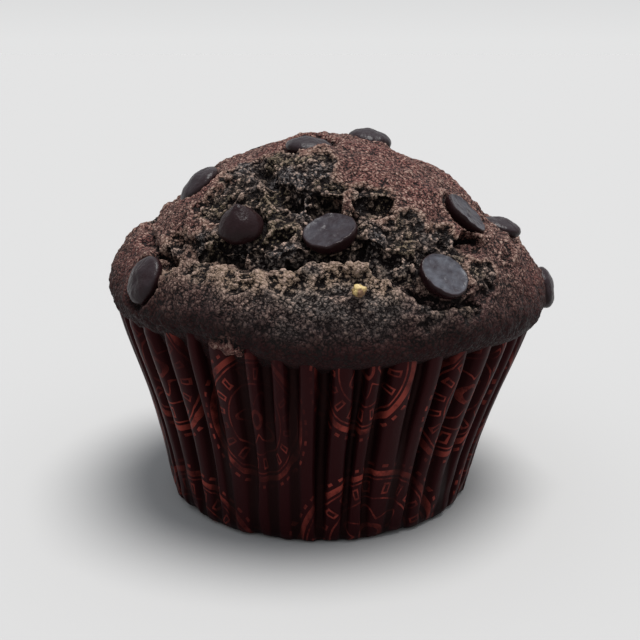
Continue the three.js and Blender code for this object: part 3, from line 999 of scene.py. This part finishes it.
def paperMaterial():
    look = paperLook
    material, shader = newMaterial("printedPaper")
    sheet = addNode(material, "ShaderNodeUVMap", uv_map="sheet").outputs[0]
    place = addNode(material, "ShaderNodeTexCoord").outputs["Object"]
    # one ring badge in every tile of the sheet, alternate rows set over by half a tile
    turned = addNode(material, "ShaderNodeMapping", {"Vector": sheet})
    turned.inputs["Rotation"].default_value = (0, 0, math.radians(look["turn"]))
    turned.inputs["Scale"].default_value = (1 / look["tile"], 1 / look["tile"], 1)
    turned.inputs["Location"].default_value = (*look["set"], 0)
    tiles = turned.outputs[0]
    split = addNode(material, "ShaderNodeSeparateXYZ", {0: tiles})
    row = addMath(material, "FLOOR", split.outputs[1])
    odd = addMath(material, "MULTIPLY", addMath(material, "FLOORED_MODULO", row, 2.0), 0.5)
    x = addMath(material, "FRACT", addMath(material, "ADD", split.outputs[0], odd))
    x = addMath(material, "SUBTRACT", x, 0.5)
    y = addMath(material, "SUBTRACT", addMath(material, "FRACT", split.outputs[1]), 0.5)
    x = addMath(material, "MULTIPLY", x, look["tile"] * 1000)
    y = addMath(material, "MULTIPLY", y, look["tile"] * 1000)
    spread = addNode(material, "ShaderNodeCombineXYZ", {0: x, 1: y}).outputs[0]
    radius = addNode(material, "ShaderNodeVectorMath", {0: spread}, operation="LENGTH").outputs["Value"]
    angle = addMath(material, "ARCTAN2", y, x)

    def band(value, middle, half):
        node = addNode(material, "ShaderNodeMath", {0: value, 1: middle, 2: half}, operation="COMPARE")
        return node.outputs[0]

    def either(first, second):
        return addMath(material, "MAXIMUM", first, second)

    def both(first, second):
        return addMath(material, "MULTIPLY", first, second)

    rings = either(band(radius, 12.5, 0.55), either(band(radius, 11.3, 0.15), band(radius, 7.3, 0.15)))
    ticks = addMath(material, "SINE", addMath(material, "MULTIPLY", angle, 18.0))
    bars = both(band(radius, 9.3, 1.15), addMath(material, "GREATER_THAN", ticks, 0.35))
    hollows = both(band(radius, 9.3, 0.75), addMath(material, "GREATER_THAN", ticks, 0.82))
    bars = addMath(material, "SUBTRACT", bars, hollows)
    wave = addMath(material, "COSINE", addMath(material, "MULTIPLY", angle, 6.0))
    petals = addMath(material, "MULTIPLY_ADD", wave, 1.2)
    petals.node.inputs[2].default_value = 4.4
    petalLine = band(addMath(material, "SUBTRACT", radius, petals), 0.0, 0.24)
    heart = band(radius, 1.7, 0.4)
    beads = addMath(material, "SINE", addMath(material, "MULTIPLY", angle, 40.0))
    dots = both(band(radius, 14.1, 0.3), addMath(material, "GREATER_THAN", beads, 0.2))
    printed = either(either(rings, bars), either(petalLine, either(heart, dots)))
    wear = addNode(material, "ShaderNodeTexNoise",
                   {"Vector": place, "Scale": 300.0, "Detail": 5.0, "Roughness": 0.7})
    worn = addRamp(material, wear.outputs[0], [(0.38, grey(0.1)), (0.58, grey(1))])
    faded = addNode(material, "ShaderNodeTexNoise",
                    {"Vector": place, "Scale": 75.0, "Detail": 2.0}).outputs[0]
    share = both(both(printed, worn), addRamp(material, faded, [(0.38, grey(0.15)), (0.62, grey(1))]))
    base = mixColours(material, share, (*look["paper"], 1), (*look["print"], 1))
    # the grooves are painted dark: painted shade
    grooveShade = addNode(material, "ShaderNodeAttribute", attribute_name="grooveShade").outputs["Fac"]
    base = mixColours(material, addMath(material, "MULTIPLY", grooveShade, 0.85), base, (*look["grooveShadeColour"], 1))
    wire(material, base, shader.inputs["Base Color"])
    gloss = addNode(material, "ShaderNodeMapRange", {
        "Value": wear.outputs[0], "To Min": look["roughness"][0], "To Max": look["roughness"][1]})
    wire(material, gloss.outputs[0], shader.inputs["Roughness"])
    shader.inputs["Specular IOR Level"].default_value = look["sheen"]
    shader.inputs["Specular Tint"].default_value = (1, 0.45, 0.42, 1)
    fibres = addNode(material, "ShaderNodeTexNoise", {"Vector": place, "Scale": 1500.0, "Detail": 3.0})
    bump = addNode(material, "ShaderNodeBump",
                   {"Height": fibres.outputs[0], "Strength": 0.3, "Distance": 0.08 * mm})
    wire(material, bump.outputs[0], shader.inputs["Normal"])
    return material


cupPiece = makeCup()
cupPiece.data.materials.append(paperMaterial())
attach(cupPiece, body)
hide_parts("paper_cup")


# nut bit

nut = {"colour": (0.40, 0.29, 0.11), "brown": (0.12, 0.058, 0.024)}


def makeNut():
    low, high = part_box("nut_bit")
    middle, half = (low + high) / 2, (high - low) / 2
    clearSelection()
    bpy.ops.mesh.primitive_ico_sphere_add(subdivisions=4, radius=1, location=(0, 0, 0))
    piece = bpy.context.object
    piece.name = "nutBit"
    points = readPoints(piece)
    points *= (0.94 + 0.22 * roll(points, 0.8, 3, 4.0) - 0.14 * clods(points, 0.7, 2.0))[:, None]
    points = points * np.array(half) + np.array(middle)
    writePoints(piece, points)
    pick(piece)
    bpy.ops.object.shade_smooth()
    print("nut:", len(piece.data.polygons), "faces")
    return piece


def nutMaterial():
    material, shader = newMaterial("paleNut")
    place = addNode(material, "ShaderNodeTexCoord").outputs["Object"]
    patches = addNode(material, "ShaderNodeTexNoise", {"Vector": place, "Scale": 700.0, "Detail": 4.0})
    share = addRamp(material, patches.outputs[0], [(0.42, grey(1)), (0.6, grey(0))])
    base = mixColours(material, share, (*nut["colour"], 1), (*nut["brown"], 1))
    wire(material, base, shader.inputs["Base Color"])
    shader.inputs["Roughness"].default_value = 0.5
    bump = addNode(material, "ShaderNodeBump",
                   {"Height": patches.outputs[0], "Strength": 0.5, "Distance": 0.2 * mm})
    wire(material, bump.outputs[0], shader.inputs["Normal"])
    return material


nutPiece = makeNut()
nutPiece.data.materials.append(nutMaterial())
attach(nutPiece, body)
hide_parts("nut_bit")


# floor, light and camera

studio = {
    "floor": (0.34, 0.334, 0.328),
    "horizon": (0.772, 0.774, 0.775),
    "wall": (0.56, 0.565, 0.57),
    "zenith": (0.80, 0.86, 0.94),
    "wallAt": 0.16,          # how far up the background turns from horizon to wall
    "overhead": 5.0,
    "overheadSpread": 32,
    "overheadPlace": (0.25, -0.05, 1.6),
    "camera": (0, -0.18333, 0.08332),
    "lens": 56.25,
    "pitch": 15.66,
}


def makeFloor():
    clearSelection()
    bpy.ops.mesh.primitive_plane_add(size=12, location=(0, 0, 0))
    floor = bpy.context.object
    floor.name = "floor"
    material, shader = newMaterial("paleFloor")
    shader.inputs["Base Color"].default_value = (*studio["floor"], 1)
    shader.inputs["Roughness"].default_value = 0.9
    shader.inputs["Specular IOR Level"].default_value = 0.0
    floor.data.materials.append(material)


def addSoftSun(name, strength, spread, place):
    light = bpy.data.lights.new(name, "SUN")
    light.energy = strength
    light.angle = math.radians(spread)
    lamp = bpy.data.objects.new(name, light)
    bpy.context.collection.objects.link(lamp)
    lamp.rotation_euler = Vector(place).to_track_quat("Z", "Y").to_euler()


def makeStudio():
    makeFloor()
    addSoftSun("overhead", studio["overhead"], studio["overheadSpread"], studio["overheadPlace"])
    bpy.context.scene.view_settings.view_transform = "Standard"
    world = bpy.data.worlds.new("studio")
    bpy.context.scene.world = world
    world.use_nodes = True
    nodes, links = world.node_tree.nodes, world.node_tree.links
    height = nodes.new("ShaderNodeSeparateXYZ")
    ramp = nodes.new("ShaderNodeValToRGB")
    ramp.color_ramp.elements[0].color = (*studio["horizon"], 1)
    ramp.color_ramp.elements[1].color = (*studio["zenith"], 1)
    ramp.color_ramp.elements.new(studio["wallAt"]).color = (*studio["wall"], 1)
    links.new(nodes.new("ShaderNodeTexCoord").outputs["Generated"], height.inputs[0])
    links.new(height.outputs[2], ramp.inputs[0])
    links.new(ramp.outputs[0], nodes["Background"].inputs["Color"])
    camera = bpy.data.cameras.new("camera")
    camera.lens = studio["lens"]
    camera.clip_start = 0.01
    holder = bpy.data.objects.new("camera", camera)
    bpy.context.collection.objects.link(holder)
    holder.location = studio["camera"]
    holder.rotation_euler = (math.radians(90 - studio["pitch"]), 0, 0)
    bpy.context.scene.camera = holder
    print("studio: floor, soft sun and camera")


makeStudio()
